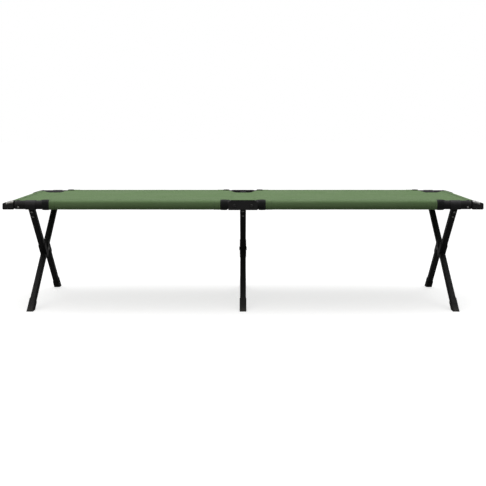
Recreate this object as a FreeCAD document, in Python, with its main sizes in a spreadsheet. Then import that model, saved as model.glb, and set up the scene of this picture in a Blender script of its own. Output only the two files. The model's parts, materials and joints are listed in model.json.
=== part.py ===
import FreeCAD
import Part
import Sketcher
import math
import os

# A folding camp cot: two jointed side rails on three coplanar X-shaped leg pairs,
# a stretched fabric bed and a lift-off bar at each end.
# +X runs along the cot, +Y across it, +Z up; the origin is on the floor at the middle.

os.makedirs("parts", exist_ok=True)
doc = FreeCAD.newDocument("folding_cot")
Vector = FreeCAD.Vector

TOLERANCE = 0.01  # for finding an edge by its place

DIMENSIONS = {
    # side rails and the frame's driving sizes
    "overall_length": 1905.0,
    "rail_spacing": 610.0,
    "rail_height": 420.0,
    "rail_radius": 17.5,
    "rail_wall": 1.5,
    "rail_tip": 898.0,
    # middle hinge, one channel on each side
    "hinge_reach": 34.0,
    "hinge_drop": 3.0,
    "hinge_pin_radius": 4.0,
    "channel_reach": 58.0,
    "channel_wall": 2.0,
    "channel_top": 437.5,
    "channel_edge": 4.0,
    "channel_corner": 12.0,
    "slot_below_top": 4.0,
    "tang_nose": 13.5,
    "tang_plug": 34.0,
    "tang_shoulder": 3.0,
    "tube_start": 50.0,
    "pin_head_rise": 3.0,
    "pin_head_height": 2.4,
    "pin_head_edge": 1.6,
    "centre_pin_radius": 6.0,
    "web_inner": 16.0,
    "web_outer": 20.0,
    "web_below_top": 8.0,
    # leg pairs
    "leg_station": 843.0,
    "pivot_height": 210.0,
    "leg_width": 24.0,
    "leg_depth": 25.0,
    "leg_wall": 1.6,
    "leg_corner": 5.0,
    "half_offset": 25.5,
    "half_gap": 26.0,
    "head_gap": 22.0,
    "eye_gap": 1.5,
    "leg_lift": 20.0,
    "plate_thickness": 1.5,
    "plate_inset": 3.0,
    "plate_arm": 86.0,
    "plate_tail": 8.0,
    "plate_edge": 6.0,
    "bridge_height": 34.0,
    "bridge_margin": 11.0,
    "bolt_radius": 4.0,
    "bolt_head_rise": 3.5,
    "bolt_head_height": 2.0,
    "bolt_head_edge": 1.2,
    "collar_radius": 19.0,
    "collar_length": 40.0,
    "eye_radius": 14.0,
    "eye_length": 26.0,
    "shank_length": 66.0,
    "shank_drop": 12.0,
    "foot_width": 27.0,
    "foot_depth": 32.0,
    "foot_above": 58.0,
    "foot_below": 34.0,
    "foot_edge": 6.0,
    "foot_web": 2.0,
    "toe_reach": 329.0,
    "rivet_radius": 3.0,
    "rivet_head": 5.0,
    "rivet_head_height": 1.8,
    "rivet_head_edge": 1.2,
    "rivet_inset": 12.0,
    "rivet_pitch": 34.0,
    # end bars
    "bar_radius": 8.0,
    "bar_station": 918.0,
    "bar_rise": 7.0,
    "stub_radius": 6.0,
    "stub_drop": 9.0,
    "stub_tip": 940.0,
    "stub_edge": 1.5,
    "plug_length": 40.0,
    "flange_thickness": 6.0,
    "bar_inset": 10.0,
    "bar_socket": 20.0,
    "block_inner": 906.0,
    "block_width": 43.0,
    "block_overhang": 19.0,
    "block_drop": 17.5,
    "block_edge": 5.0,
    "block_roof": 1.5,
    "stub_play": 1.2,
    "stub_end_play": 3.0,
    "pocket_box": 60.0,
    "ridge_station": 914.0,
    "block_slope": 13.0,
    "slope_box": 120.0,
    # fabric
    "cloth_thickness": 1.3,
    "sleeve_start": 61.5,
    "sleeve_end": 797.0,
    "bed_half_width": 282.0,
    "bed_top": 438.0,
    "bed_thickness": 4.0,
    "bed_end": 903.0,
    "bed_split": 9.0,
    # fits
    "pin_clearance": 0.05,
    "open_clearance": 0.3,
    "side_gap": 0.3,
    # length of the tools that cut right through a piece
    "through": 80.0,
}

sheet = doc.addObject("Spreadsheet::Sheet", "dims")
for row, (alias, number) in enumerate(DIMENSIONS.items(), start=1):
    sheet.set(f"A{row}", alias)
    sheet.set(f"B{row}", str(number))
    sheet.setAlias(f"B{row}", alias)
doc.recompute()


def size(alias):
    """The number that the sheet holds under one alias."""
    return float(getattr(sheet, alias))


def bind(item, **expressions):
    """Ties properties of a document object to the sheet."""
    for name, text in expressions.items():
        item.setExpression(name, text)
    return item


def place(x=0.0, y=0.0, z=0.0, axis=(1, 0, 0), angle=0.0):
    return FreeCAD.Placement(Vector(x, y, z), FreeCAD.Rotation(Vector(*axis), angle))


def box(name, length, width, height, centre):
    """A box whose centre is at centre once its sizes are worked out."""
    item = doc.addObject("Part::Box", name)
    bind(item, Length=length, Width=width, Height=height)
    doc.recompute()
    half = Vector(item.Length, item.Width, item.Height) * 0.5
    item.Placement = FreeCAD.Placement(Vector(*centre) - half, FreeCAD.Rotation())
    return item


AIM = {"x": ((0, 1, 0), 90), "y": ((1, 0, 0), -90), "z": ((1, 0, 0), 0)}
STEP = {"x": Vector(1, 0, 0), "y": Vector(0, 1, 0), "z": Vector(0, 0, 1)}


def rod(name, radius, length, centre, along="x"):
    """A cylinder centred at centre, along one of the axes."""
    item = doc.addObject("Part::Cylinder", name)
    bind(item, Radius=radius, Height=length)
    doc.recompute()
    axis, angle = AIM[along]
    start = Vector(*centre) - STEP[along] * (float(item.Height) / 2)
    item.Placement = FreeCAD.Placement(start, FreeCAD.Rotation(Vector(*axis), angle))
    return item


def fuse(name, *shapes):
    item = doc.addObject("Part::MultiFuse", name)
    item.Shapes = list(shapes)
    item.Refine = True
    return item


def cut(name, base, *tools):
    item = doc.addObject("Part::Cut", name)
    item.Base = base
    item.Tool = tools[0] if len(tools) == 1 else fuse(name + "_tools", *tools)
    item.Refine = True
    return item


def rounded(name, base, radius, chooses):
    """Fillets the edges of a base that the test picks."""
    doc.recompute()
    item = doc.addObject("Part::Fillet", name)
    item.Base = base
    picked = [i for i, e in enumerate(base.Shape.Edges, start=1) if chooses(e)]
    item.Edges = [(i, radius, radius) for i in picked]
    return item


def runs_along(direction):
    """A test for straight edges parallel to one direction."""

    def test(edge):
        if len(edge.Vertexes) != 2:
            return False
        span = edge.Vertexes[1].Point - edge.Vertexes[0].Point
        return span.Length > 0.1 and abs(span.normalize().dot(direction)) > 0.999

    return test


def low_long_edge(edge, mid_z):
    """A test for an edge along X below one height."""
    along = runs_along(Vector(1, 0, 0))
    return along(edge) and edge.BoundBox.ZMax < mid_z


def high_cross_edge(edge, mid_z):
    """A test for an edge along Y above one height."""
    across = runs_along(Vector(0, 1, 0))
    return across(edge) and edge.BoundBox.ZMin > mid_z


def outer_rim(y):
    """A test for a round edge that lies in the plane at one y."""

    def test(edge):
        bounds = edge.BoundBox
        return abs(bounds.YMin - y) < TOLERANCE and abs(bounds.YMax - y) < TOLERANCE

    return test


def end_rim(x):
    """A test for an edge that lies in the plane at one x."""

    def test(edge):
        bounds = edge.BoundBox
        return abs(bounds.XMin - x) < TOLERANCE and abs(bounds.XMax - x) < TOLERANCE

    return test


nodes = []


def finish(item, label, placement=None):
    """Names a finished sub-part, sets it in its place and lists it for export."""
    item.Label = label
    if placement is not None:
        item.Placement = placement
    nodes.append(item)
    return item


def origin_plane(body, role):
    for feature in body.Origin.OriginFeatures:
        if feature.Role == role:
            return feature
    raise RuntimeError("no plane " + role)


def sketch_on(body, role, name):
    item = body.newObject("Sketcher::SketchObject", name)
    item.AttachmentSupport = (origin_plane(body, role), [""])
    item.MapMode = "FlatFace"
    return item


def tube(label, outer, inner, length, placement):
    """A round tube: a ring sketched on the YZ plane and padded along +X."""
    body = doc.addObject("PartDesign::Body", label)
    ring = sketch_on(body, "YZ_Plane", label + "_ring")
    for name, text in (("outer", outer), ("inner", inner)):
        number = ring.addGeometry(Part.Circle(Vector(0, 0, 0), Vector(0, 0, 1), 10), False)
        ring.addConstraint(Sketcher.Constraint("Coincident", number, 3, -1, 1))
        index = ring.addConstraint(Sketcher.Constraint("Radius", number, 10))
        ring.renameConstraint(index, name)
        ring.setExpression("Constraints." + name, text)
    pad = body.newObject("PartDesign::Pad", label + "_pad")
    pad.Profile = ring
    bind(pad, Length=length)
    return finish(body, label, placement)


def rectangle(body, name, width, depth):
    """A rectangle centred on the body's XY plane, with both sizes bound."""
    outline = sketch_on(body, "XY_Plane", name)
    corners = [Vector(-5, -5, 0), Vector(5, -5, 0), Vector(5, 5, 0), Vector(-5, 5, 0)]
    for i in range(4):
        outline.addGeometry(Part.LineSegment(corners[i], corners[(i + 1) % 4]), False)
    for i in range(4):
        outline.addConstraint(Sketcher.Constraint("Coincident", i, 2, (i + 1) % 4, 1))
    for i, kind in enumerate(("Horizontal", "Vertical", "Horizontal", "Vertical")):
        outline.addConstraint(Sketcher.Constraint(kind, i))
    outline.addConstraint(Sketcher.Constraint("Symmetric", 0, 1, 2, 1, -1, 1))
    across = outline.addConstraint(Sketcher.Constraint("DistanceX", 0, 1, 0, 2, 10))
    outline.renameConstraint(across, "across")
    outline.setExpression("Constraints.across", width)
    deep = outline.addConstraint(Sketcher.Constraint("DistanceY", 1, 1, 1, 2, 10))
    outline.renameConstraint(deep, "deep")
    outline.setExpression("Constraints.deep", depth)
    return outline


def leg_tube(label, length, placement):
    """A rectangular leg tube with rounded corners, padded along its own +Z."""
    body = doc.addObject("PartDesign::Body", label)
    pad = body.newObject("PartDesign::Pad", label + "_pad")
    pad.Profile = rectangle(body, label + "_outline", "dims.leg_width", "dims.leg_depth")
    bind(pad, Length=length)
    doc.recompute()
    along = runs_along(Vector(0, 0, 1))
    edges = [f"Edge{i}" for i, e in enumerate(pad.Shape.Edges, start=1) if along(e)]
    corners = body.newObject("PartDesign::Fillet", label + "_corners")
    corners.Base = (pad, edges)
    bind(corners, Radius="dims.leg_corner")
    doc.recompute()
    solid_volume = corners.Shape.Volume
    bore = body.newObject("PartDesign::Pocket", label + "_bore")
    bore.Profile = rectangle(
        body,
        label + "_bore_outline",
        "dims.leg_width - 2 * dims.leg_wall",
        "dims.leg_depth - 2 * dims.leg_wall",
    )
    bore.Type = 1
    bore.Reversed = True
    doc.recompute()
    if bore.Shape.Volume > 0.5 * solid_volume:
        raise RuntimeError(label + " was not bored")
    return finish(body, label, placement)


# Geometry that follows from the driving sizes.
half_spacing = size("rail_spacing") / 2
rail_z = size("rail_height")
pivot_z = size("pivot_height")
rise = rail_z - pivot_z
reach = math.hypot(half_spacing, rise)
straight_angle = math.degrees(math.atan2(rise, half_spacing))
skew_angle = math.degrees(math.asin(size("half_offset") / reach))
split_angle = straight_angle + skew_angle
split_reach = reach * math.cos(math.radians(skew_angle))
offset = size("half_offset")
hinge_z = rail_z - size("hinge_drop")

STATIONS = {"left": -size("leg_station"), "middle": 0.0, "right": size("leg_station")}
SIDES = {"near": -half_spacing, "far": half_spacing}
ENDS = {"left": -1, "right": 1}


def rail_half(side, end):
    """Half a side rail with its hinge tang, its end plug and its fabric sleeve."""
    y = SIDES[side]
    turn = 0 if end == "right" else 180
    name = f"{side}_{end}"

    def at(x, z=rail_z):
        return place(x * ENDS[end], y, z, (0, 0, 1), turn)

    tube(
        f"rail_{name}",
        "dims.rail_radius",
        "dims.rail_radius - dims.rail_wall",
        "dims.rail_tip - dims.tube_start",
        at(size("tube_start")),
    )
    tube(
        f"sleeve_{name}",
        "dims.rail_radius + dims.side_gap / 3 + dims.cloth_thickness",
        "dims.rail_radius + dims.side_gap / 3",
        "dims.sleeve_end - dims.sleeve_start",
        at(size("sleeve_start")),
    )

    # The tang: a plug in the tube and a flat tongue whose round nose turns on the pin.
    tag = f"tang_{name}"
    plug = rod(
        tag + "_plug",
        "dims.rail_radius - dims.rail_wall - dims.pin_clearance",
        "dims.tang_plug",
        (size("tube_start") + size("tang_plug") / 2, 0, 0),
    )
    drop = size("hinge_drop")
    nose = rod(
        tag + "_nose",
        "dims.tang_nose",
        "2 * (dims.rail_radius - dims.rail_wall)",
        (size("hinge_reach"), 0, -drop),
        "y",
    )
    tongue_reach = size("tube_start") - size("hinge_reach")
    tongue = box(
        tag + "_tongue",
        "dims.tube_start - dims.hinge_reach",
        "2 * (dims.rail_radius - dims.rail_wall)",
        "2 * dims.tang_nose",
        (size("hinge_reach") + tongue_reach / 2, 0, -drop),
    )
    shoulder = rod(
        tag + "_shoulder",
        "dims.rail_radius",
        "dims.tang_shoulder",
        (size("tube_start") - size("tang_shoulder") / 2 - size("pin_clearance"), 0, 0),
    )
    eye = rod(
        tag + "_eye",
        "dims.hinge_pin_radius + dims.pin_clearance",
        "dims.through",
        (size("hinge_reach"), 0, -drop),
        "y",
    )
    solid = fuse(tag + "_solid", plug, nose, tongue, shoulder)
    finish(cut(tag, solid, eye), tag, at(0))

    # The end plug: a flange over the tube's mouth and a steel stub set low in it.
    tag = f"end_plug_{name}"
    tip = size("rail_tip")
    plug = rod(
        tag + "_plug",
        "dims.rail_radius - dims.rail_wall - dims.pin_clearance",
        "dims.plug_length",
        (tip - size("plug_length") / 2, 0, 0),
    )
    flange = rod(
        tag + "_flange",
        "dims.rail_radius",
        "dims.flange_thickness",
        (tip + size("flange_thickness") / 2 + size("pin_clearance"), 0, 0),
    )
    stub_length = size("stub_tip") - tip
    stub = rod(
        tag + "_stub",
        "dims.stub_radius",
        "dims.stub_tip - dims.rail_tip",
        (tip + stub_length / 2, 0, -size("stub_drop")),
    )
    at_tip = end_rim(size("stub_tip"))
    stub_end = rounded(tag + "_stub_end", stub, size("stub_edge"), at_tip)
    finish(fuse(tag, plug, flange, stub_end), tag, at(0))


for side_name in SIDES:
    for end_name in ENDS:
        rail_half(side_name, end_name)


def middle_channel(side):
    """The U-shaped channel that both rail halves turn up out of, with its pins."""
    y = SIDES[side]
    inward = 1 if side == "near" else -1
    tag = f"middle_channel_{side}"
    wall_y = size("rail_radius") + size("side_gap")
    outer_y = wall_y + size("channel_wall")
    floor_top = -size("rail_radius") - size("side_gap")
    top = size("channel_top") - rail_z
    height = top - floor_top + size("channel_wall")
    mid_z = top - height / 2
    outside = box(
        tag + "_outside",
        "2 * dims.channel_reach",
        f"{2 * outer_y}",
        f"{height}",
        (0, 0, mid_z),
    )
    softened = rounded(
        tag + "_soft", outside, size("channel_edge"), lambda edge: low_long_edge(edge, mid_z)
    )
    # The upper ends are rounded off, so that the sleeves turn up past them.
    cornered = rounded(
        tag + "_cornered", softened, size("channel_corner"), lambda edge: high_cross_edge(edge, mid_z)
    )
    inside = box(
        tag + "_inside",
        "2 * dims.channel_reach + dims.through",
        "2 * (dims.rail_radius + dims.side_gap)",
        f"{height}",
        (0, 0, mid_z + size("channel_wall")),
    )
    trough = cut(tag + "_trough", cornered, inside)
    webs = []
    web_width = size("web_outer") - size("web_inner")
    web_height = height - size("web_below_top") - size("channel_wall") / 2
    web_z = top - size("web_below_top") - web_height / 2
    for sign in (-1, 1):
        webs.append(
            box(
                f"{tag}_web_{sign + 1}",
                "dims.web_outer - dims.web_inner",
                "2 * (dims.rail_radius + dims.side_gap) + dims.side_gap",
                f"{web_height}",
                (sign * (size("web_inner") + web_width / 2), 0, web_z),
            )
        )
    blank = fuse(tag + "_blank", trough, *webs)
    # The leg hangs through the floor and the inner wall, between the two webs.
    slot_width = 2 * (size("web_inner") - size("side_gap"))
    floor_slot = box(
        tag + "_floor_slot",
        f"{slot_width}",
        "2 * (dims.rail_radius + dims.side_gap)",
        "2 * dims.channel_wall + dims.channel_edge",
        (0, 0, floor_top - size("channel_wall")),
    )
    wall_slot = box(
        tag + "_wall_slot",
        f"{slot_width}",
        "dims.rail_radius",
        f"{height}",
        (0, inward * (wall_y + size("channel_wall")), top - size("slot_below_top") - height / 2),
    )
    drills = [
        rod(
            f"{tag}_drill_{sign + 1}",
            "dims.hinge_pin_radius",
            "dims.through",
            (sign * size("hinge_reach"), 0, -size("hinge_drop")),
            "y",
        )
        for sign in (-1, 1)
    ]
    drills.append(rod(tag + "_pin_drill", "dims.centre_pin_radius", "dims.through", (0, 0, 0)))
    body = cut(tag, blank, floor_slot, wall_slot, *drills)
    finish(body, tag, place(0, y, rail_z))

    tag = f"middle_pins_{side}"
    head_y = outer_y + size("pin_clearance") + size("pin_head_height")
    pieces = []
    for sign in (-1, 1):
        x = sign * size("hinge_reach")
        z = -size("hinge_drop")
        pin_length = f"{2 * outer_y} + dims.pin_head_height"
        pieces.append(rod(f"{tag}_pin_{sign + 1}", "dims.hinge_pin_radius", pin_length, (x, 0, z), "y"))
        for face in (-1, 1):
            head = rod(
                f"{tag}_head_{sign + 1}_{face + 1}",
                "dims.hinge_pin_radius + dims.pin_head_rise",
                "dims.pin_head_height",
                (x, face * (head_y - size("pin_head_height") / 2), z),
                "y",
            )
            rim = outer_rim(face * head_y)
            pieces.append(rounded(head.Name + "_dome", head, size("pin_head_edge"), rim))
    pieces.append(
        rod(f"{tag}_axle", "dims.centre_pin_radius", "2 * dims.web_outer", (0, 0, 0))
    )
    finish(fuse(tag, *pieces), tag, place(0, y, rail_z))


for side_name in SIDES:
    middle_channel(side_name)


def leg_frame(kind, station):
    """The placement of a leg's own frame: origin at the crossing, +Z towards its head."""
    if kind == "split":
        return place(STATIONS[station], 0, pivot_z, (1, 0, 0), 90 - split_angle)
    return place(STATIONS[station], 0, pivot_z, (1, 0, 0), straight_angle - 90)


def leg_head(label, station, y, top, gap, frame):
    """The fitting on top of a leg, which turns round the rail or the middle axle."""
    tag = label
    inner_width = "dims.leg_width - 2 * (dims.leg_wall + dims.pin_clearance)"
    inner_depth = "dims.leg_depth - 2 * (dims.leg_wall + dims.pin_clearance)"
    shank_top = top - size("shank_drop")
    shank = box(
        tag + "_shank",
        inner_width,
        inner_depth,
        "dims.shank_length",
        (0, y, shank_top - size("shank_length") / 2),
    )
    if station == "middle":
        radius = "dims.eye_radius"
        length = "dims.eye_length"
        hole = f"dims.centre_pin_radius + {gap}"
    else:
        radius = "dims.collar_radius"
        length = "dims.collar_length"
        hole = f"dims.rail_radius + {gap}"
    ring = rod(tag + "_ring", radius, length, (0, y, top))
    bore = rod(tag + "_bore", hole, "dims.through", (0, y, top))
    solid = fuse(tag + "_solid", ring, shank)
    finish(cut(tag, solid, bore), label, frame)


def foot(label, y, frame):
    """A rubber foot over the leg's end, cut level where it stands on the floor."""
    low = -split_reach if y else -reach
    outward = 1 if y else -1
    middle = (size("foot_above") - size("foot_below")) / 2
    block = box(
        label + "_block",
        "dims.foot_width",
        "dims.foot_depth",
        "dims.foot_above + dims.foot_below",
        (0, y, low + middle),
    )
    softened = rounded(label + "_soft", block, size("foot_edge"), runs_along(Vector(0, 0, 1)))
    web_top = low + size("leg_lift") - size("foot_web")
    socket = box(
        label + "_socket",
        "dims.leg_width + 2 * dims.pin_clearance",
        "dims.leg_depth + 2 * dims.pin_clearance",
        "dims.through",
        (0, y, web_top + size("through") / 2),
    )
    hollow = cut(label + "_hollow", softened, socket)
    hollow.Placement = frame
    trim_half = size("through") / 2
    station = frame.Base.x
    ground = box(
        label + "_ground", "dims.through", "2 * dims.rail_spacing", "dims.through", (station, 0, -trim_half)
    )
    toe_y = outward * (size("toe_reach") + trim_half)
    toe = box(label + "_toe", "dims.through", "dims.through", "2 * dims.through", (station, toe_y, 0))
    finish(cut(label, hollow, ground, toe), label)


def rivets(label, frame, y, top):
    """Two rivets through the leg's depth below its top, each a shank with two low heads."""
    pieces = []
    face_y = size("leg_depth") / 2 + size("rivet_head_height")
    for number in range(2):
        z = top - size("rivet_inset") - number * size("rivet_pitch")
        shank = f"{label}_shank_{number}"
        shank_length = "dims.leg_depth + dims.rivet_head_height"
        pieces.append(rod(shank, "dims.rivet_radius", shank_length, (0, y, z), "y"))
        for face in (-1, 1):
            head = rod(
                f"{label}_head_{number}_{face + 1}",
                "dims.rivet_head",
                "dims.rivet_head_height",
                (0, y + face * (face_y - size("rivet_head_height") / 2), z),
                "y",
            )
            rim = outer_rim(y + face * face_y)
            pieces.append(rounded(head.Name + "_dome", head, size("rivet_head_edge"), rim))
    finish(fuse(label, *pieces), label, frame)


def leg_pair(station):
    """One X: a straight leg between the two offset halves of a split leg."""
    split = leg_frame("split", station)
    straight = leg_frame("straight", station)
    first = size("pin_clearance")
    second = size("pin_clearance") if station == "left" else size("open_clearance")

    # The split leg: its upper half on one side of the straight leg, its lower on the other.
    upper_start = size("half_gap")
    gap = size("eye_radius") + size("eye_gap") if station == "middle" else size("head_gap")
    upper_end = split_reach - gap
    leg_tube(
        f"split_leg_upper_{station}",
        f"{upper_end - upper_start}",
        split.multiply(place(0, -offset, upper_start)),
    )
    lower_end = -split_reach + size("leg_lift")
    leg_tube(
        f"split_leg_lower_{station}",
        f"{-upper_start - lower_end}",
        split.multiply(place(0, offset, lower_end)),
    )
    leg_head(f"split_leg_head_{station}", station, -offset, split_reach, first, split)
    foot(f"split_leg_foot_{station}", offset, split)
    rivets(f"split_leg_rivets_{station}", split, -offset, upper_end)
    scissor_plates(station, split)

    straight_end = reach - gap
    straight_start = -reach + size("leg_lift")
    leg_tube(
        f"straight_leg_{station}",
        f"{straight_end - straight_start}",
        straight.multiply(place(0, 0, straight_start)),
    )
    leg_head(f"straight_leg_head_{station}", station, 0, reach, second, straight)
    foot(f"straight_leg_foot_{station}", 0, straight)
    rivets(f"straight_leg_rivets_{station}", straight, 0, straight_end)
    pivot_bolt(station, straight)


def scissor_plates(station, frame):
    """Two cheek plates that join the split leg's halves across the straight leg."""
    label = f"scissor_plates_{station}"
    cheek_x = size("leg_width") / 2 + size("side_gap") + size("plate_thickness") / 2
    middle = size("plate_arm") / 2 - size("plate_tail")
    arms = (("upper", -offset, middle), ("lower", offset, -middle))
    pieces = []
    for sign in (-1, 1):
        sides = []
        for name, y, z in arms:
            sides.append(
                box(
                    f"{label}_{name}_{sign + 1}",
                    "dims.plate_thickness",
                    "dims.leg_depth - dims.plate_inset",
                    "dims.plate_arm",
                    (sign * cheek_x, y, z),
                )
            )
        bridge = box(
            f"{label}_bridge_{sign + 1}",
            "dims.plate_thickness",
            "2 * (dims.half_offset + dims.bridge_margin)",
            "dims.bridge_height",
            (sign * cheek_x, 0, 0),
        )
        blank = fuse(f"{label}_blank_{sign + 1}", bridge, *sides)
        across = runs_along(Vector(1, 0, 0))
        pieces.append(rounded(f"{label}_cheek_{sign + 1}", blank, size("plate_edge"), across))
    both = fuse(label + "_both", *pieces)
    hole = rod(label + "_hole", "dims.bolt_radius + dims.pin_clearance", "dims.through", (0, 0, 0))
    finish(cut(label, both, hole), label, frame)


def pivot_bolt(station, frame):
    """The bolt of the crossing, with a domed head and a nut outside the plates."""
    label = f"pivot_bolt_{station}"
    face = size("leg_width") / 2 + 2 * size("side_gap") + size("plate_thickness")
    head_height = size("bolt_head_height")
    head_radius = "dims.bolt_radius + dims.bolt_head_rise"
    shank = rod(label + "_shank", "dims.bolt_radius", f"{2 * face} + dims.bolt_head_height / 2", (0, 0, 0))
    head = rod(label + "_head", head_radius, "dims.bolt_head_height", (face + head_height / 2, 0, 0))
    dome = rounded(label + "_dome", head, size("bolt_head_edge"), end_rim(face + head_height))
    nut = doc.addObject("Part::Prism", label + "_nut")
    nut.Polygon = 6
    bind(nut, Circumradius=head_radius, Height="dims.bolt_head_height")
    nut.Placement = place(-face - head_height, 0, 0, (0, 1, 0), 90)
    finish(fuse(label, shank, dome, nut), label, frame)


for station_name in STATIONS:
    leg_pair(station_name)


def corner_block(name, sign, y, bar_half, bar_z):
    """A block that hooks over a rail's stub: open below, inwards and towards the rail."""
    outward = 1 if y > 0 else -1
    inner = size("block_inner")
    block_length = size("overall_length") / 2 - inner
    top = bar_z + size("bar_radius") + size("block_roof")
    bottom = rail_z - size("block_drop")
    outer_y = abs(y) + size("block_overhang")
    middle_y = outward * (outer_y - size("block_width") / 2)
    blank = box(
        name + "_blank",
        f"{block_length}",
        "dims.block_width",
        f"{top - bottom}",
        (sign * (inner + block_length / 2), middle_y, (top + bottom) / 2),
    )
    # The top falls away outwards from a ridge just past the bar.
    slope = box(name + "_slope", "dims.slope_box", "dims.slope_box", "dims.slope_box", (0, 0, 0))
    across = size("slope_box")
    corner = place(0 if sign > 0 else -across, -across / 2, 0)
    ridge = place(sign * size("ridge_station"), middle_y, top, (0, 1, 0), sign * size("block_slope"))
    slope.Placement = ridge.multiply(corner)
    wedge = cut(name + "_wedge", blank, slope)
    softened = rounded(name + "_soft", wedge, size("block_edge"), lambda edge: True)
    play = size("stub_radius") + size("stub_play")
    half = size("pocket_box") / 2
    pocket = box(
        name + "_pocket",
        "dims.pocket_box",
        "dims.pocket_box",
        "dims.pocket_box",
        (
            sign * (size("stub_tip") + size("stub_end_play") - half),
            outward * (abs(y) + play - half),
            rail_z - size("stub_drop") + play - half,
        ),
    )
    socket = rod(
        name + "_socket",
        "dims.bar_radius + dims.pin_clearance",
        "dims.bar_socket",
        (sign * size("bar_station"), outward * (bar_half - size("bar_socket") / 2), bar_z),
        "y",
    )
    return cut(name, softened, pocket, socket)


def end_bar(end):
    """A spreader bar and its two corner blocks, which hook over the rails' stubs."""
    sign = ENDS[end]
    bar_z = rail_z + size("bar_rise")
    bar_half = half_spacing - size("bar_inset")
    tube(
        f"end_bar_{end}",
        "dims.bar_radius",
        "dims.bar_radius - dims.rail_wall",
        "dims.rail_spacing - 2 * dims.bar_inset",
        place(sign * size("bar_station"), -bar_half, bar_z, (0, 0, 1), 90),
    )
    label = f"corner_blocks_{end}"
    blocks = []
    for side, y in SIDES.items():
        blocks.append(corner_block(f"{label}_{side}", sign, y, bar_half, bar_z))
    finish(fuse(label, *blocks), label)


for end_name in ENDS:
    end_bar(end_name)


def bed_half(end):
    """Half of the stretched bed, a thin slab between the rails."""
    length = size("bed_end") - size("bed_split")
    label = f"bed_{end}"
    slab = box(
        label,
        "dims.bed_end - dims.bed_split",
        "2 * dims.bed_half_width",
        "dims.bed_thickness",
        (
            ENDS[end] * (size("bed_split") + length / 2),
            0,
            size("bed_top") - size("bed_thickness") / 2,
        ),
    )
    finish(slab, label)


for end_name in ENDS:
    bed_half(end_name)

doc.recompute()
for item in doc.Objects:
    if "Invalid" in item.State or "Error" in item.State:
        raise RuntimeError(f"{item.Name} is {item.State}")
for item in nodes:
    if item.Shape.isNull() or not item.Shape.isValid():
        raise RuntimeError(item.Label + " has no valid shape")
    item.Shape.exportStep(f"parts/{item.Label}.step")
print(len(nodes), "nodes,", round(straight_angle, 2), round(split_angle, 2), "degrees")
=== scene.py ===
import json
import math

import bpy
import numpy as np
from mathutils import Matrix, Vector, noise


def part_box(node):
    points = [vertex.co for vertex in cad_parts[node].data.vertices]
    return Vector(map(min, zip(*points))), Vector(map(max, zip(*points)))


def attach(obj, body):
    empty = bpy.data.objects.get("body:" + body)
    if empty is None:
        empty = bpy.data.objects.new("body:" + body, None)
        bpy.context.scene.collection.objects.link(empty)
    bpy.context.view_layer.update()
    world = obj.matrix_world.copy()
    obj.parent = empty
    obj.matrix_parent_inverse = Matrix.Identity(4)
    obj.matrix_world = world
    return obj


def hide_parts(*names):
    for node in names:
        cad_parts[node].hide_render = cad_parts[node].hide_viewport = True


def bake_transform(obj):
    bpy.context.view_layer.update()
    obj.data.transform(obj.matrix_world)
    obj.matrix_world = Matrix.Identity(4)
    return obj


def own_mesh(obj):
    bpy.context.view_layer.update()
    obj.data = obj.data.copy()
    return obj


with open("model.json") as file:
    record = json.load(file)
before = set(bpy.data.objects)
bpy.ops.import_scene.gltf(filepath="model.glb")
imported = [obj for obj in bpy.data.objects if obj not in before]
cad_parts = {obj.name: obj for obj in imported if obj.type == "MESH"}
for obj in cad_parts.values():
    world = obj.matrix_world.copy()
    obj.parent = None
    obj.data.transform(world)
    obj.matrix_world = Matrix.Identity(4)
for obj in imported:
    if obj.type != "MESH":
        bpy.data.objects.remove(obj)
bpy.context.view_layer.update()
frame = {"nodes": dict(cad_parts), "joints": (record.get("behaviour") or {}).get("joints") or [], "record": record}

# A folding camp cot. Every size is in metres, in the CAD model's frame: X along the cot,
# Y across it, Z up. The frame, legs and fittings are the CAD nodes; this script makes the
# fabric, its bindings and stitches, and the small steel trim, whose tabs on the corner blocks also stand in for
# the glint of light on the blocks' rounded tops, and gives all of it materials.

nodes = frame["nodes"]
scene = bpy.context.scene


# ---------------------------------------------------------------- places read from the frame

rail_low, rail_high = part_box("rail_far_right")
RAIL_Y = (rail_low[1] + rail_high[1]) / 2
RAIL_Z = (rail_low[2] + rail_high[2]) / 2
RAIL_RADIUS = (rail_high[2] - rail_low[2]) / 2

sleeve_low, sleeve_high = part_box("sleeve_far_right")
SLEEVE_START = sleeve_low[0]
SLEEVE_END = sleeve_high[0]
SLEEVE_RADIUS = (sleeve_high[2] - sleeve_low[2]) / 2

bar_low, bar_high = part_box("end_bar_right")
BAR_X = (bar_low[0] + bar_high[0]) / 2
BAR_Z = (bar_low[2] + bar_high[2]) / 2
BAR_RADIUS = (bar_high[2] - bar_low[2]) / 2

block_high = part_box("corner_blocks_right")[1]

hinge = next(joint for joint in frame["joints"] if joint["name"] == "near_right_fold")
HINGE_X, _, HINGE_Z = hinge["pos_m"]

SIDES = {"near": -1, "far": 1}
ENDS = {"left": -1, "right": 1}

# ---------------------------------------------------------------- sizes of the fabric and the trim

CLOTH = 0.001            # thickness of the cloth
SEAM_Y = 0.283           # the seam between the bed and the sleeves
SEAM_Z = 0.4375
CUT_Z = 0.4295           # the bed's free edge at the cut-outs
CUT_BOW = 0.004          # how far the free edges pull inwards
STRIP_X = 0.862          # outside this the bed gives way to the end strip, which follows the bar
HEM_RADIUS = BAR_RADIUS + 0.0013
HEM_TOP = BAR_Z + HEM_RADIUS
HEM_SEAM_X = 0.9025      # the stitched line of the hem round the end bar
HEM_HALF = 0.279         # the hem stops just short of the corner blocks
SAG = 0.009
SAG_X = 0.62             # the sag is full inside this
CUT_DIP = 0.030          # the edge drops to the cut-outs' level over this length
HEM_DIP_X = 0.875        # and rises to the hem outside this
CREASE = 0.0011          # height of the tension creases at the cut-outs' corners
CELL = 0.008             # size of the cloth's faces

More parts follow.
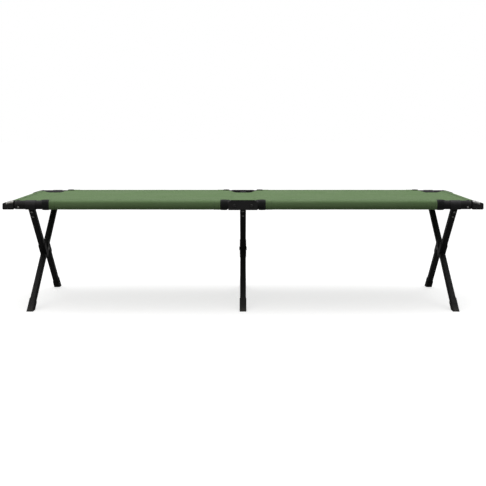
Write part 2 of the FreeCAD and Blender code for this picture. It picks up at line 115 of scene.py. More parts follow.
TAPE = 0.0012            # rise of the binding tape over the cloth
TAPE_WIDTH = 0.010
BAND_WIDTH = 0.029       # black band at each end of a sleeve
BAND_RISE = 0.0020
BAND_SOFT = 0.006        # the length over which a band's edges round down
HEM_WIDTH = 0.026        # the doubled cloth beside each band
HEM_RISE = 0.0006
HEM_SOFT = 0.0012

BLOCK_RIDGE = 0.914      # the corner blocks' tops fall away outside this X
BLOCK_SLOPE = math.radians(13)
BLOCK_EDGE = 0.005       # radius of the blocks' edges
# Each steel tab is a clip on its block. Where it wraps down over the block's rounded top edge, it stands in for
# the glint of light on that edge.
CLIP_START = 0.909       # the steel tab on each block
CLIP_END = 0.938
CLIP_RISE = 0.0009
CLIP_DOME = (0.922, 0.303)
RIVET_X = 0.890          # the rivet in each rail's outer wall
RIVET_DROP = 0.009

STITCH_PITCH = 0.0052
STITCH_LENGTH = 0.0036
STITCH_RADIUS = 0.00042
STITCH_SIDES = 6
THREAD_RISE = 0.0001     # the thread's axis lies this far above its cloth
STITCH_INSET = 0.004     # from a stitched edge to its stitches

# share of a stitch's length, its thickness there and its lift, both as shares of their most
STITCH_SHAPE = ((0, 0.45, 0), (0.22, 1, 0.6), (0.5, 1, 1), (0.78, 1, 0.6), (1, 0.45, 0))


def smooth(low, high, value):
    """0 below low, 1 above high, with a soft turn between; high may be below low."""
    t = np.clip((np.asarray(value, float) - low) / (high - low), 0, 1)
    return t * t * (3 - 2 * t)


# ---------------------------------------------------------------- camera, light and floor


def camera():
    """The camera stands level with its frame shifted down, as a product view is taken."""
    data = bpy.data.cameras.new("camera")
    data.lens = 77.7
    data.sensor_width = 36.0
    data.shift_y = -0.2536
    data.clip_end = 60
    item = bpy.data.objects.new("camera", data)
    item.location = (0, -4.472, 0.758)
    item.rotation_euler = (math.radians(90), 0, 0)
    scene.collection.objects.link(item)
    scene.camera = item


def area_light(name, place, aim, width, height, power):
    """A soft rectangular light at a place, turned towards its aim."""
    data = bpy.data.lights.new(name, "AREA")
    data.shape = "RECTANGLE"
    data.size = width
    data.size_y = height
    data.energy = power
    item = bpy.data.objects.new(name, data)
    item.location = place
    item.rotation_euler = (Vector(aim) - Vector(place)).to_track_quat("-Z", "Y").to_euler()
    scene.collection.objects.link(item)
    return data


def studio():
    """A pale floor that meets a pale surround, with soft light from above and the front."""
    mesh = bpy.data.meshes.new("floor")
    reach = 30.0
    mesh.from_pydata(
        [(-reach, -reach, 0), (reach, -reach, 0), (reach, reach, 0), (-reach, reach, 0)],
        [],
        [(0, 1, 2, 3)],
    )
    floor = bpy.data.objects.new("floor", mesh)
    scene.collection.objects.link(floor)
    paint = Shader("floor_paint", 1.0)
    seen = paint.node("ShaderNodeLightPath").outputs["Is Camera Ray"]
    paint.drive("Base Color", paint.mix(seen, (0.22, 0.22, 0.22, 1), (0.55, 0.55, 0.55, 1)))
    paint.drive("Emission Strength", paint.math("MULTIPLY", seen, 0.68))
    paint.fixed(Specular_IOR_Level=0.0, Emission_Color=(1, 1, 1, 1))
    mesh.materials.append(paint.material)
    surround()
    area_light("overhead", (0, 0.3, 2.6), (0, 0, 0.4), 3.6, 1.8, 26)
    warm = area_light("front", (-1.4, -3.4, 2.2), (0, 0, 0.3), 1.4, 0.8, 9)
    warm.color = (1.0, 0.90, 0.74)
    scene.view_settings.view_transform = "Standard"


def surround():
    """A white surround that lights the cot mostly from above."""
    world = bpy.data.worlds.new("surround")
    world.use_nodes = True
    tree = world.node_tree
    background = tree.nodes["Background"]
    background.inputs["Color"].default_value = (1, 1, 1, 1)
    place = tree.nodes.new("ShaderNodeTexCoord")
    split = tree.nodes.new("ShaderNodeSeparateXYZ")
    tree.links.new(place.outputs["Generated"], split.inputs[0])
    fade = tree.nodes.new("ShaderNodeMapRange")
    fade.interpolation_type = "SMOOTHSTEP"
    fade.inputs["To Min"].default_value = 0.05
    tree.links.new(split.outputs[2], fade.inputs[0])
    seen = tree.nodes.new("ShaderNodeLightPath")
    strength = tree.nodes.new("ShaderNodeMath")
    strength.operation = "MAXIMUM"
    tree.links.new(fade.outputs[0], strength.inputs[0])
    tree.links.new(seen.outputs["Is Camera Ray"], strength.inputs[1])
    tree.links.new(strength.outputs[0], background.inputs["Strength"])
    scene.world = world


# ---------------------------------------------------------------- materials


COAT_ROUGHNESS = 0.46


class Shader:
    """A material under construction, with short calls for the nodes it needs."""

    def __init__(self, name, roughness):
        self.material = bpy.data.materials.new(name)
        self.material.use_nodes = True
        self.tree = self.material.node_tree
        self.principled = self.tree.nodes["Principled BSDF"]
        self.principled.inputs["Roughness"].default_value = roughness

    def node(self, kind, inputs=(), **settings):
        item = self.tree.nodes.new(kind)
        for key, value in settings.items():
            setattr(item, key, value)
        for socket, value in dict(inputs).items():
            if isinstance(value, bpy.types.NodeSocket):
                self.tree.links.new(value, item.inputs[socket])
            else:
                item.inputs[socket].default_value = value
        return item

    def fixed(self, **values):
        for name, value in values.items():
            self.principled.inputs[name.replace("_", " ")].default_value = value

    def drive(self, socket, source):
        self.tree.links.new(source, self.principled.inputs[socket])

    def math(self, operation, first, second=0.0):
        inputs = {0: first, 1: second}
        return self.node("ShaderNodeMath", inputs, operation=operation).outputs[0]

    def wave(self, value, pitch):
        """A sine along a coordinate, with one cycle to each pitch."""
        return self.math("SINE", self.math("MULTIPLY", value, math.tau / pitch))

    def mix(self, factor, first, second):
        """A mix of two colours, each a colour or a socket."""
        inputs = {0: factor, 6: first, 7: second}
        return self.node("ShaderNodeMix", inputs, data_type="RGBA").outputs[2]

    def noise(self, vector, scale, detail=3.0, roughness=0.55):
        item = self.node(
            "ShaderNodeTexNoise",
            {"Vector": vector, "Scale": scale, "Detail": detail, "Roughness": roughness},
        )
        return item.outputs["Fac"]

    def stretch(self, vector, scale):
        """The same coordinates with each axis scaled by its own number."""
        item = self.node("ShaderNodeMapping", {"Vector": vector, "Scale": scale})
        return item.outputs["Vector"]

    def span(self, value, low, high, out_low=0.0, out_high=1.0):
        item = self.node(
            "ShaderNodeMapRange",
            {"Value": value, "From Min": low, "From Max": high, "To Min": out_low, "To Max": out_high},
        )
        return item.outputs[0]

    def bump(self, height, strength, distance, normal=None):
        inputs = {"Height": height, "Strength": strength, "Distance": distance}
        if normal is not None:
            inputs["Normal"] = normal
        return self.node("ShaderNodeBump", inputs).outputs["Normal"]

    def place(self):
        return self.node("ShaderNodeTexCoord").outputs["Object"]

    def weave(self):
        """The thread coordinates that every fabric mesh carries, in metres along its cloth."""
        item = self.node("ShaderNodeAttribute", attribute_type="GEOMETRY", attribute_name="weave")
        return item.outputs["Vector"]

    def worn(self):
        """1 on outer edges, from the mesh's own sharpness."""
        return self.span(self.node("ShaderNodeNewGeometry").outputs["Pointiness"], 0.52, 0.60)


def woven(shader, pitch_along, pitch_across):
    """Height of a plain weave: each thread's rib, and where it goes over and under."""
    thread = shader.node("ShaderNodeSeparateXYZ", {0: shader.weave()})
    warp = shader.wave(thread.outputs[0], pitch_along)
    weft = shader.wave(thread.outputs[1], pitch_across)
    cross = shader.math("MULTIPLY", warp, weft)
    ribs = shader.math("ADD", shader.math("ABSOLUTE", warp), shader.math("ABSOLUTE", weft))
    ribs = shader.math("MULTIPLY", ribs, 0.35)
    return shader.math("ADD", shader.math("MULTIPLY", cross, 0.3), ribs)


def bed_cloth():
    """Olive green coated polyester: a fine plain weave with faint streaks and soft sheen. The weave's hollows are
    painted darker as shade.
    """
    shader = Shader("bed_cloth", 0.72)
    weave = woven(shader, 0.0013, 0.0011)
    flat = shader.weave()
    blotch = shader.noise(flat, 7.0, 4.0)
    streak = shader.noise(shader.stretch(flat, (2.2, 60.0, 1.0)), 1.0, 3.0)
    slub = shader.noise(shader.stretch(flat, (40.0, 900.0, 1.0)), 1.0, 2.0)
    deep = (0.098, 0.172, 0.070, 1)
    mid = (0.150, 0.238, 0.106, 1)
    pale = (0.190, 0.272, 0.142, 1)
    colour = shader.mix(shader.span(blotch, 0.3, 0.7), mid, (0.138, 0.228, 0.096, 1))
    colour = shader.mix(shader.span(streak, 0.52, 0.80, 0.0, 0.55), colour, pale)
    colour = shader.mix(shader.span(slub, 0.35, 0.75, 0.0, 0.18), colour, deep)
    # Painted shade: the colour darkens towards the deep green in the hollows of the weave, where shade falls
    # between the threads.
    colour = shader.mix(shader.span(weave, 0.35, 0.05, 0.0, 0.35), colour, deep)
    shader.drive("Base Color", colour)
    shader.drive("Roughness", shader.span(blotch, 0.3, 0.7, 0.62, 0.80))
    billow = shader.noise(shader.stretch(flat, (9.0, 22.0, 1.0)), 1.0, 3.0)
    drape = shader.bump(billow, 0.35, 0.0022)
    shader.drive("Normal", shader.bump(weave, 0.55, 0.0003, drape))
    shader.fixed(Sheen_Weight=0.03, Sheen_Roughness=0.5, Specular_IOR_Level=0.16)
    return shader.material


def binding_tape():
    """Black ribbed tape."""
    shader = Shader("binding_tape", 0.7)
    thread = shader.node("ShaderNodeSeparateXYZ", {0: shader.weave()})
    rib = shader.wave(thread.outputs[0], 0.0010)
    fuzz = shader.noise(shader.place(), 420.0, 3.0)
    deep = (0.006, 0.007, 0.007, 1)
    pale = (0.016, 0.018, 0.018, 1)
    shader.drive("Base Color", shader.mix(shader.span(fuzz, 0.3, 0.7), deep, pale))
    shader.drive("Roughness", shader.span(fuzz, 0.3, 0.7, 0.6, 0.85))
    shader.drive("Normal", shader.bump(rib, 0.6, 0.0003, shader.bump(fuzz, 0.3, 0.0004)))
    shader.fixed(Sheen_Weight=0.05, Specular_IOR_Level=0.25)
    return shader.material


def thread(name, colour):
    """Twisted sewing thread."""
    shader = Shader(name, 0.6)
    twist = shader.noise(shader.place(), 1600.0, 2.0)
    dark = tuple(0.55 * c for c in colour[:3]) + (1,)
    shader.drive("Base Color", shader.mix(shader.span(twist, 0.35, 0.65), dark, colour))
    shader.drive("Normal", shader.bump(twist, 0.5, 0.0002))
    shader.fixed(Sheen_Weight=0.2)
    return shader.material


def coated_metal(name, base, light, grain):
    """Black powder coat: a fine orange peel, light scuffs along its grain and worn edges."""
    shader = Shader(name, COAT_ROUGHNESS)
    place = shader.place()
    cloud = shader.noise(place, 11.0, 4.0)
    scuff = shader.noise(shader.stretch(place, grain), 1.0, 4.0, 0.65)
    cloudy = tuple(1.5 * c for c in base[:3]) + (1,)
    colour = shader.mix(shader.span(cloud, 0.3, 0.7), base, cloudy)
    colour = shader.mix(shader.span(scuff, 0.60, 0.82, 0.0, 0.5), colour, light)
    colour = shader.mix(shader.math("MULTIPLY", shader.worn(), 0.55), colour, light)
    shader.drive("Base Color", colour)
    rough = shader.span(cloud, 0.3, 0.7, COAT_ROUGHNESS - 0.06, COAT_ROUGHNESS + 0.06)
    rough = shader.math("ADD", rough, shader.span(scuff, 0.55, 0.8, 0.0, 0.14))
    shader.drive("Roughness", rough)
    peel = shader.noise(place, 950.0, 2.0)
    shader.drive("Normal", shader.bump(peel, 0.25, 0.0003, shader.bump(cloud, 0.08, 0.001)))
    shader.fixed(Specular_IOR_Level=0.14)
    return shader.material


def black_nylon():
    """Moulded nylon with a fine spark texture and dulled corners."""
    shader = Shader("black_nylon", 0.5)
    place = shader.place()
    cloud = shader.noise(place, 16.0, 3.0)
    grain = shader.noise(place, 1500.0, 2.0)
    deep = (0.006, 0.006, 0.0065, 1)
    pale = (0.010, 0.010, 0.011, 1)
    scraped = (0.035, 0.035, 0.037, 1)
    colour = shader.mix(shader.span(cloud, 0.3, 0.7), deep, pale)
    colour = shader.mix(shader.math("MULTIPLY", shader.worn(), 0.5), colour, scraped)
    shader.drive("Base Color", colour)
    shader.drive("Roughness", shader.span(grain, 0.3, 0.7, 0.42, 0.62))
    shader.drive("Normal", shader.bump(grain, 0.35, 0.0003))
    shader.fixed(Specular_IOR_Level=0.25)
    return shader.material


def foot_rubber():
    """Matt rubber, dusty where it stands."""
    shader = Shader("foot_rubber", 0.8)
    place = shader.place()
    height = shader.node("ShaderNodeSeparateXYZ", {0: place}).outputs[2]
    cloud = shader.noise(place, 60.0, 4.0)
    dust = shader.math("MULTIPLY", shader.span(height, 0.022, 0.0), shader.span(cloud, 0.35, 0.7))
    shader.drive("Base Color", shader.mix(dust, (0.008, 0.008, 0.008, 1), (0.055, 0.052, 0.046, 1)))
    shader.drive("Roughness", shader.span(cloud, 0.3, 0.7, 0.7, 0.92))
    shader.drive("Normal", shader.bump(shader.noise(place, 800.0, 2.0), 0.35, 0.0004))
    return shader.material


def bright_steel(name, dull, clear):
    """Plated steel with a cloudy finish."""
    shader = Shader(name, 0.3)
    place = shader.place()
    cloud = shader.noise(place, 180.0, 3.0)
    shader.drive("Base Color", shader.mix(shader.span(cloud, 0.3, 0.7), dull, clear))
    shader.drive("Roughness", shader.span(cloud, 0.3, 0.7, 0.24, 0.42))
    shader.drive("Normal", shader.bump(cloud, 0.15, 0.0003))
    shader.fixed(Metallic=1.0)
    return shader.material


CLOTH_PAINT = bed_cloth()
TAPE_PAINT = binding_tape()
GREEN_THREAD = thread("green_thread", (0.085, 0.135, 0.062, 1))
BLACK_THREAD = thread("black_thread", (0.035, 0.036, 0.036, 1))
STEEL_PAINT = bright_steel("bright_steel", (0.34, 0.34, 0.33, 1), (0.52, 0.52, 0.51, 1))
PIN_PAINT = bright_steel("dark_steel", (0.045, 0.045, 0.045, 1), (0.11, 0.11, 0.11, 1))
SLOT_PAINT = {
    "tube_metal": coated_metal(
        "tube_metal", (0.004, 0.004, 0.0042, 1), (0.030, 0.030, 0.031, 1), (30, 6, 6)
    ),
    "bracket_steel": coated_metal(
        "bracket_steel", (0.005, 0.005, 0.0052, 1), (0.045, 0.045, 0.046, 1), (14, 30, 30)
    ),
    "black_nylon": black_nylon(),
    "foot_rubber": foot_rubber(),
    "bright_steel": STEEL_PAINT,
    "bed_cloth": CLOTH_PAINT,
}


def paint_frame():
    """Every CAD node takes the procedural material of its slot."""
    slots = {}
    for part in frame["record"]["subparts"]:
        slots[part["node"]] = part["material_slot"]
    for name, item in nodes.items():
        paint = PIN_PAINT if name.startswith("middle_pins") else SLOT_PAINT[slots[name]]
        if not item.data.materials:
            item.data.materials.append(paint)
        for slot in item.material_slots:
            slot.material = paint


# ---------------------------------------------------------------- mesh tools


SHARP = 50               # degrees


def settle(item):
    """Bakes an object's modifiers into its mesh."""
    bpy.context.view_layer.update()
    graph = bpy.context.evaluated_depsgraph_get()
    mesh = bpy.data.meshes.new_from_object(item.evaluated_get(graph))
    item.modifiers.clear()
    item.data = mesh


def new_piece(name, points, faces, weave, paint, angle=SHARP):
    """A smooth mesh with thread coordinates, creased where it turns more than the angle."""
    mesh = bpy.data.meshes.new(name)
    mesh.from_pydata([tuple(p) for p in points], [], faces)
    layer = mesh.attributes.new("weave", "FLOAT_VECTOR", "POINT")
    flat = np.zeros((len(points), 3), np.float32)
    flat[:, :2] = weave
    layer.data.foreach_set("vector", flat.ravel())
    mesh.materials.append(paint)
    mesh.polygons.foreach_set("use_smooth", [True] * len(mesh.polygons))
    mesh.set_sharp_from_angle(angle=math.radians(angle))
    item = bpy.data.objects.new(name, mesh)
    scene.collection.objects.link(item)
    return item


def grid_faces(rows, columns, flip=False, ring=False):
    """Faces of a grid of points; ring joins its last column to its first."""
    faces = []
    for i in range(rows - 1):
        for j in range(columns if ring else columns - 1):
            k = (j + 1) % columns
            face = (i * columns + j, (i + 1) * columns + j, (i + 1) * columns + k, i * columns + k)
            faces.append(face[::-1] if flip else face)
    return faces


def cloth_piece(name, grid, weave, flip):
    """A sheet of cloth from a grid of points, given its thickness underneath."""
    grid = np.asarray(grid, float)
    rows, columns = grid.shape[:2]
    item = new_piece(
        name,
        grid.reshape(-1, 3),
        grid_faces(rows, columns, flip),
        np.asarray(weave, float).reshape(-1, 2),
        CLOTH_PAINT,
    )
    shell = item.modifiers.new("thickness", "SOLIDIFY")
    shell.thickness = CLOTH
    shell.offset = -1
    shell.use_even_offset = True
    settle(item)
    item.data.set_sharp_from_angle(angle=math.radians(SHARP))
    return item


def joined_mesh(name, parts, paint, angle=SHARP):
    """One piece from several (points, faces, weave) parts."""
    points, faces, weave = [], [], []
    for some, these, those in parts:
        start = len(points)
        points.extend(some)
        faces.extend(tuple(start + k for k in face) for face in these)
        weave.extend(those)
    return new_piece(name, points, faces, weave, paint, angle)


def tube_part(stations, flip=False):
    """A closed tube from rings of points; the ends are capped."""
    stations = np.asarray(stations, float)
    rows, columns = stations.shape[:2]
    faces = grid_faces(rows, columns, flip, ring=True)
    first = tuple(range(columns))
    last = tuple((rows - 1) * columns + k for k in range(columns))
    faces.append(first[::-1] if flip else first)
    faces.append(last if flip else last[::-1])
    points = stations.reshape(-1, 3)
    steps = np.linalg.norm(np.diff(stations[:, 0], axis=0), axis=1)
    run = np.concatenate([[0], np.cumsum(steps)])
    across = np.arange(columns) * 0.002
    weave = [(run[i], across[j]) for i in range(rows) for j in range(columns)]
    return [tuple(p) for p in points], faces, weave


def lathe_part(profile, centre, axis):
    """A turned shape: profile is (radius, height) pairs along the axis from centre."""
    steps = 20
    axis = Vector(axis).normalized()
    side = axis.orthogonal().normalized()
    other = axis.cross(side)
    rings = []
    for radius, height in profile:
        ring = []
        for k in range(steps):
            turn = math.tau * k / steps
            offset = side * (radius * math.cos(turn)) + other * (radius * math.sin(turn))
            ring.append(Vector(centre) + offset + axis * height)
        rings.append(ring)
    return tube_part(rings, flip=True)


def one_stitch(line, start, up):
    """A stitch on a line, which is a function of distance that gives points; up is its lift."""
    lift = Vector(up).normalized()
    ahead = Vector(line(start + STITCH_LENGTH)) - Vector(line(start))
    side = ahead.normalized().cross(lift).normalized()
    rings = []
    for share, size, rise in STITCH_SHAPE:
        centre = Vector(line(start + share * STITCH_LENGTH)) + lift * (rise * STITCH_RADIUS * 0.7)
        ring = []
        for k in range(STITCH_SIDES):
            turn = math.tau * k / STITCH_SIDES
            offset = side * math.cos(turn) + lift * math.sin(turn)
            ring.append(centre + offset * STITCH_RADIUS * size)
        rings.append(ring)
    return tube_part(rings)


def stitch_row(line, length):
    """A row of stitches on a line that lies on top of the cloth."""
    count = int(length / STITCH_PITCH)
    parts = []
    for number in range(count):
        start = (number + 0.5) * length / count - STITCH_LENGTH / 2
        parts.append(one_stitch(line, start, (0, 0, 1)))
    return parts


# ---------------------------------------------------------------- the bed's surface


def edge_y(x):
    """Half the bed's width at x: straight at the sleeves, drawn in at the cut-outs."""
    x = np.abs(x)
    middle = CUT_BOW * smooth(SLEEVE_START, SLEEVE_START - 0.06, x)
    share = np.clip((x - SLEEVE_END) / (HEM_SEAM_X - SLEEVE_END), 0, 1)
    outer = CUT_BOW * smooth(0, 0.35, share)
    return SEAM_Y - middle - outer


def edge_z(x):
    """Height of the bed's edge at x."""
    x = np.abs(x)
    dip = smooth(SLEEVE_START, SLEEVE_START - CUT_DIP, x)
    outer = smooth(SLEEVE_END, SLEEVE_END + CUT_DIP, x)
    dip = dip + outer * smooth(HEM_SEAM_X, HEM_DIP_X, x)
    hem = smooth(STRIP_X, HEM_SEAM_X + 0.008, x)
    return SEAM_Z - (SEAM_Z - CUT_Z) * dip + (HEM_TOP - 0.0006 - SEAM_Z) * hem


def bed_height(x, share):
    """Height of the cloth at x and at a share, from -1 to 1, of the way across."""
    taut = smooth(HEM_SEAM_X, SAG_X, np.abs(x))
    level = edge_z(x) - SAG * taut * (1 - share**2) ** 1.1
    return level + creases(x, share)


def creases(x, share):
    """Low tension creases that fan out from the corners of the cut-outs."""
    y = share * SEAM_Y
    rise = np.zeros(np.broadcast(x, share).shape)
    for corner_x, reach, fan in ((SLEEVE_END, 0.17, 7), (SLEEVE_START, 0.10, 6)):
        for sign_x in (-1, 1):
            for sign_y in (-1, 1):
                dx = x - sign_x * corner_x
                dy = y - sign_y * SEAM_Y
                away = np.hypot(dx, dy)
                turn = np.arctan2(dy, dx)
                wave = np.sin(fan * turn + 1.3 * sign_x + 0.7 * sign_y)
                rise = rise + wave * np.exp(-((away / reach) ** 2)) * smooth(0.0, 0.05, away)
    inside = smooth(1.0, 0.88, np.abs(share))
    return CREASE * rise * inside * smooth(HEM_SEAM_X, STRIP_X - 0.03, np.abs(x))


def stretches(*marks):
    """Numbers from the first mark to the last, about a cell apart, that include every mark."""
    line = []
    for low, high in zip(marks, marks[1:]):
        line.extend(np.linspace(low, high, max(2, round((high - low) / CELL) + 1))[:-1])
    return np.array(line + [marks[-1]])


SHARES = np.concatenate(
    [[-1, -0.994, -0.985], np.linspace(-0.972, 0.972, 69), [0.985, 0.994, 1]]
)


def split_x(share):
    """Where the bed divides at the middle hinge. Each point is as far in from the hinge
    pin as it is above it, so that both sides meet again when the cot is folded in half."""
    level = bed_height(np.zeros_like(share), share)
    return HINGE_X - (level - HINGE_Z)


def bed_grid(end):
    """Points and thread coordinates of one length of the bed."""
    sign = ENDS.get(end, 0)
    if sign:
        inner = np.linspace(0, 1, 8)[:-1]
        outer = stretches(SLEEVE_START, SLEEVE_END, STRIP_X)
        step, share = np.meshgrid(np.concatenate([inner - 1, outer]), SHARES, indexing="ij")
        start = split_x(share)
        x = np.where(step < 0, start + (step + 1) * (SLEEVE_START - start), step)
    else:
        step, share = np.meshgrid(np.linspace(-1, 1, 9), SHARES, indexing="ij")
        x = step * split_x(share)
        sign = 1
    points = np.stack([sign * x, share * edge_y(x), bed_height(sign * x, share)], -1)
    return points, points[..., :2]


def bed_tops():
    """The stretched bed in three lengths that turn with the frame's halves and hinge."""
    bodies = {"left": "near_left_frame", "middle": "near_middle_hinge", "right": "near_right_frame"}
    for name, body in bodies.items():
        points, weave = bed_grid(name)
        item = cloth_piece(f"bed_top_{name}", points, weave, flip=name == "left")
        if name != "middle":
            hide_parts(f"bed_{name}")
        fold_away(item, body)
        low, high = sorted((float(points[0, 0, 0]), float(points[-1, 0, 0])))
        bindings(name, low, high, body)


def fold_away(item, body):
    """Rides on one body, with a mesh of its own."""
    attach(item, body)
    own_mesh(item)


# ---------------------------------------------------------------- binding tape


def tape_ring(x, sign):
    """The section of a tape folded over the bed's edge at x, as a ring of points."""
    edge = float(edge_y(x))
    half = CLOTH / 2 + TAPE
    ring = []
    for k in range(9):
        turn = -math.pi / 2 + math.pi * k / 8
        ring.append((edge + 0.0003 + half * math.cos(turn), half * math.sin(turn)))
    for share in (0.33, 0.66, 1.0):
        ring.append((edge - share * TAPE_WIDTH, half - 0.0005 * share))
    ring.append((edge - TAPE_WIDTH - 0.0004, 0.0))
    for share in (1.0, 0.66, 0.33):
        ring.append((edge - share * TAPE_WIDTH, -half + 0.0005 * share))
    points = []
    for y, z in ring:
        level = float(bed_height(x, min(1.0, y / edge))) - CLOTH / 2
        points.append((x, sign * y, level + z))
    return points


def bindings(name, low, high, body):
    """Tape over the free edges between two places along the cot, both sides in one piece."""
    cuts = ((-STRIP_X, -SLEEVE_END), (-SLEEVE_START, SLEEVE_START), (SLEEVE_END, STRIP_X))
    parts = []
    for start, stop in cuts:
        first, last = max(low, start), min(high, stop)
        if last < first:
            continue
        along = np.linspace(first, last, max(3, round((last - first) / 0.005)))
        for sign in (-1, 1):
            rings = [tape_ring(float(x), sign) for x in along]
            parts.append(tube_part(rings, flip=sign > 0))
            parts.extend(tape_stitches(first, last, sign))
    item = joined_mesh(f"bed_binding_{name}", parts, TAPE_PAINT)
    fold_away(item, body)


def tape_stitches(first, last, sign):
    """The row of stitches along a tape's inner edge."""

    def line(distance):
        x = first + distance
        edge = float(edge_y(x))
        y = edge - TAPE_WIDTH * 0.72
        return x, sign * y, float(bed_height(x, y / edge)) + TAPE * 0.75

    return stitch_row(line, last - first)


# ---------------------------------------------------------------- end strips


def hem_section():
    """The end strip's path outwards: level, over the bar, round it and back to the seam.
    Where the height is None it follows the bed."""
    path = [(x, None) for x in np.linspace(STRIP_X, HEM_SEAM_X + 0.010, 9)]
    for turn in np.radians(np.linspace(88, -118, 26)):
        path.append((BAR_X + HEM_RADIUS * math.cos(turn), BAR_Z + HEM_RADIUS * math.sin(turn)))
    last_x, last_z = path[-1]
    end_x = HEM_SEAM_X - STITCH_INSET
    end_z = HEM_TOP - 0.0045
    for share in np.linspace(0, 1, 9)[1:]:
        x = last_x + (end_x - last_x) * share
        path.append((x, last_z + (end_z - last_z) * share**0.8))
    return path


def end_strip(end):
    """The last stretch of the bed, hemmed round the end bar."""
    sign = ENDS[end]
    rows, weave = [], []
    for number, (x, z) in enumerate(hem_section()):
        row, threads = [], []
        for share in SHARES:
            half = float(edge_y(x)) if z is None else HEM_HALF
            level = float(bed_height(x, share)) if z is None else z
            row.append((sign * x, share * half, level))
            threads.append((STRIP_X + 0.004 * number, share * half))
        rows.append(row)
        weave.append(threads)
    item = cloth_piece(f"end_strip_{end}", rows, weave, flip=sign < 0)
    for piece in (item, end_binding(end), hem_stitches(end)):
        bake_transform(piece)


def end_binding(end):
    """The tape on both edges of the end strip."""
    sign = ENDS[end]
    parts = []
    for side in (-1, 1):
        rings = [tape_ring(x, side) for x in np.linspace(STRIP_X, HEM_SEAM_X + 0.002, 10)]
        rings = [[(sign * x, y, z) for x, y, z in ring] for ring in rings]
        parts.append(tube_part(rings, flip=side * sign > 0))
    return joined_mesh(f"end_binding_{end}", parts, TAPE_PAINT)


def hem_stitches(end):
    """The two rows of stitches that close the hem."""
    sign = ENDS[end]
    inset = 0.012
    parts = []
    for x in (HEM_SEAM_X, HEM_SEAM_X - STITCH_INSET):

        def line(distance, x=x):
            y = distance - HEM_HALF + inset
            return sign * x, y, float(bed_height(x, y / SEAM_Y)) + THREAD_RISE

        parts.extend(stitch_row(line, 2 * (HEM_HALF - inset)))
    return joined_mesh(f"hem_stitches_{end}", parts, GREEN_THREAD)


# ---------------------------------------------------------------- sleeves


SEAM_STEPS = 5           # points between the seam and the rail


def shoulder(turn):
    """How far the cloth stands off the rail where it turns down over its outer top."""
    if not 0 < turn < math.pi / 2:
        return 1.0
    power = 2.8
    return (math.cos(turn) ** power + math.sin(turn) ** power) ** (-1 / power)


def sleeve_section(rise=0.0):
    """The sleeve's section round a rail: (outward, up, distance) from the top seam, round
    the rail and back under the seam. rise makes it that much larger."""
    radius = SLEEVE_RADIUS + rise
    inward = SEAM_Y - RAIL_Y
    top = Vector((inward, SEAM_Z - RAIL_Z + rise))
    bottom = Vector((inward, SEAM_Z - RAIL_Z - 2.4 * CLOTH - rise))
    first = math.atan2(top.y, top.x) - math.acos(radius / top.length)
    last = math.atan2(bottom.y, bottom.x) + math.acos(radius / bottom.length) - math.tau
    start = Vector((math.cos(first), math.sin(first))) * radius
    ring = [top.lerp(start, k / SEAM_STEPS) for k in range(SEAM_STEPS)]
    for turn in np.linspace(first, last, 41):
        ring.append(Vector((math.cos(turn), math.sin(turn))) * radius * shoulder(turn))
    end = ring[-1]
    ring.extend(end.lerp(bottom, k / 7) for k in range(1, 8))
    run = 0.0
    section = [(ring[0].x, ring[0].y, run)]
    for before, point in zip(ring, ring[1:]):
        run += (point - before).length
        section.append((point.x, point.y, run))
    return section


def sleeve_rows(section, along, side):
    """The grid of a sleeve, with low ripples that are strongest beside the seam."""
    rows, weave = [], []
    total = section[-1][2]
    for x in along:
        row, threads = [], []
        for outward, up, run in section:
            near_seam = math.exp(-min(run, total - run) / 0.012)
            wave = noise.noise(Vector((x * 21, run * 14, side * 3.7)))
            pucker = math.sin(math.tau * x / 0.013 + 2 * math.sin(x * 37)) * near_seam
            held = min(1, run / STITCH_INSET, (total - run) / STITCH_INSET)
            swell = 1 + (wave * 0.016 + pucker * 0.010) * held
            row.append((x, side * (RAIL_Y + outward * swell), RAIL_Z + up * swell))
            threads.append((x, side * (SEAM_Y + run)))
        rows.append(row)
        weave.append(threads)
    return rows, weave


def sleeve(side, end):
    """The fabric sleeve round half a rail, with its end bands, hems and stitches."""
    s, e = SIDES[side], ENDS[end]
    body = f"{side}_{end}_frame"
    low, high = sorted((e * SLEEVE_START, e * SLEEVE_END))
    section = sleeve_section()
    tuck = BAND_WIDTH / 2
    rows, weave = sleeve_rows(section, stretches(low + tuck, high - tuck), s)
    item = cloth_piece(f"sleeve_cloth_{side}_{end}", rows, weave, flip=s < 0)
    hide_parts(f"sleeve_{side}_{end}")
    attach(item, body)

    hems, bands, green, black = [], [], [], []
    for edge, inward in ((low, 1), (high, -1)):
        hem_end = BAND_WIDTH + HEM_WIDTH
        hems.append(cuff(edge, inward, s, BAND_WIDTH * 0.6, hem_end, HEM_RISE, HEM_SOFT))
        bands.append(cuff(edge, inward, s, 0.0, BAND_WIDTH, BAND_RISE, BAND_SOFT))
        for distance in (BAND_WIDTH + 0.006, hem_end - STITCH_INSET):
            green.extend(ring_stitches(edge + inward * distance, s, HEM_RISE + THREAD_RISE))
        black.extend(ring_stitches(edge + inward * (BAND_WIDTH - STITCH_INSET), s, 0.0015))
    for name, parts, paint in (
        ("sleeve_hems", hems, CLOTH_PAINT),
        ("sleeve_bands", bands, TAPE_PAINT),
        ("sleeve_hem_stitches", green, GREEN_THREAD),
        ("sleeve_band_stitches", black, BLACK_THREAD),
    ):
        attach(joined_mesh(f"{name}_{side}_{end}", parts, paint), body)

    seam = []
    length = high - low - 2 * BAND_WIDTH
    for inset in (0.003, 0.007):
        seam.extend(stitch_row(seam_line(low + BAND_WIDTH, s, inset), length))
    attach(joined_mesh(f"seam_stitches_{side}_{end}", seam, GREEN_THREAD), body)


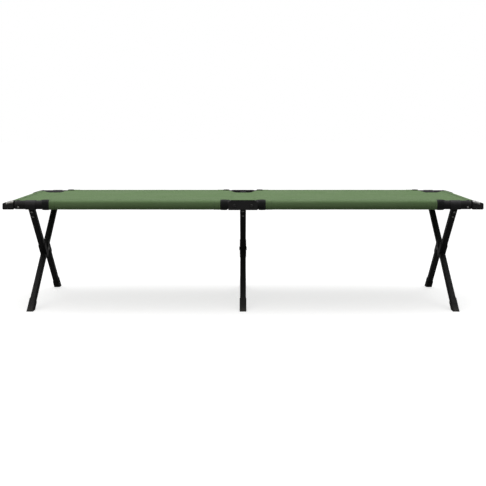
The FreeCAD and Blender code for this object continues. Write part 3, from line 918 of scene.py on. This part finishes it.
def cuff(edge, inward, side, start, stop, rise, soft):
    """A raised ring of cloth or tape round the sleeve, rounded down over a soft length."""
    reach = stop - start
    shape = ((0, 0.0), (soft * 0.1, 0.4), (soft * 0.4, 0.75), (soft, 1.0))
    places = [*shape, (reach / 2, 1.12)]
    places += [(reach - distance, share) for distance, share in shape[::-1]]
    rings = []
    for distance, share in places:
        section = sleeve_section(rise * share)
        x = edge + inward * (start + distance)
        rings.append([(x, side * (RAIL_Y + y), RAIL_Z + z) for y, z, _ in section])
    return tube_part(rings, flip=side * inward < 0)


def ring_stitches(x, side, rise):
    """Stitches round a sleeve at one place along it."""
    section = sleeve_section(rise)
    outward, up, run = np.array(section).T

    def line(distance):
        y = RAIL_Y + np.interp(distance, run, outward)
        return x, side * y, RAIL_Z + np.interp(distance, run, up)

    axis = Vector((x, side * RAIL_Y, RAIL_Z))
    parts = []
    for number in range(int((run[-1] - 0.01) / STITCH_PITCH)):
        start = 0.004 + number * STITCH_PITCH
        middle = Vector(line(start + STITCH_LENGTH / 2))
        parts.append(one_stitch(line, start, middle - axis))
    return parts


def seam_line(low, side, inset):
    """A line along the top of a sleeve, a little way out from its seam."""
    section = sleeve_section()
    first = Vector(section[0][:2])
    second = Vector(section[SEAM_STEPS - 1][:2])
    place = first + (second - first).normalized() * inset

    def line(distance):
        return low + distance, side * (RAIL_Y + place.x), RAIL_Z + place.y + THREAD_RISE

    return line


# ---------------------------------------------------------------- small steel trim, and tabs that stand in for a glint of light

# radius and height, from the rim up
DOME = ((0.0046, -0.0015), (0.0046, 0.0004), (0.0036, 0.0014), (0.0020, 0.0020), (0.0001, 0.0021))


def dome(centre, axis, scale=1.0):
    """A low rivet head."""
    return lathe_part([(r * scale, h * scale) for r, h in DOME], centre, axis)


def rail_rivet(side, end):
    """The rivet that holds the end plug in a rail, through its outer wall."""
    s, e = SIDES[side], ENDS[end]
    out = math.sqrt(RAIL_RADIUS**2 - RIVET_DROP**2)
    place = (e * RIVET_X, s * (RAIL_Y + out), RAIL_Z - RIVET_DROP)
    parts = [dome(place, (0, s * out, -RIVET_DROP))]
    item = joined_mesh(f"rail_rivet_{side}_{end}", parts, STEEL_PAINT)
    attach(item, f"{side}_{end}_frame")


def block_top(x):
    """Height of a corner block's top, which falls away outwards from a ridge."""
    return block_high[2] - max(0.0, x - BLOCK_RIDGE) * math.tan(BLOCK_SLOPE)


def bent_section(x, side):
    """The section of a tab that lies on a block's top and turns down over its outer side, where its bright steel
    stands in for the glint of light on the block's rounded edge.
    """
    turn_y = block_high[1] - BLOCK_EDGE
    turn_z = block_top(x) - BLOCK_EDGE
    outline = []
    for radius, order in ((BLOCK_EDGE + CLIP_RISE, 1), (BLOCK_EDGE - 0.0002, -1)):
        path = [(HEM_HALF + 0.005, turn_z + radius)]
        for angle in np.radians(np.linspace(90, 0, 9)):
            path.append((turn_y + radius * math.cos(angle), turn_z + radius * math.sin(angle)))
        path.append((turn_y + radius, turn_z - 0.0035))
        outline.extend(path[::order])
    return [(side * y, z) for y, z in outline]


def clips_and_glint(end):
    """A bent steel tab on each corner block, riveted down over the end bar. Its bright steel over the block's
    rounded top edge stands in for the glint of light there.
    """
    e = ENDS[end]
    x, y = CLIP_DOME
    parts = []
    for s in (-1, 1):
        stations = (CLIP_START, BLOCK_RIDGE, x, CLIP_END)
        rings = [[(e * at, *place) for place in bent_section(at, s)] for at in stations]
        parts.append(tube_part(rings, flip=e * s < 0))
        parts.append(dome((e * x, s * y, block_top(x) + CLIP_RISE), (0, 0, 1), 0.8))
    item = joined_mesh(f"clips_and_glint_{end}", parts, STEEL_PAINT, angle=35)
    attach(item, f"end_bar_{end}_body")


# ---------------------------------------------------------------- the whole cot

camera()
studio()
paint_frame()
bed_tops()
for end_name in ENDS:
    end_strip(end_name)
    clips_and_glint(end_name)
    for side_name in SIDES:
        sleeve(side_name, end_name)
        rail_rivet(side_name, end_name)
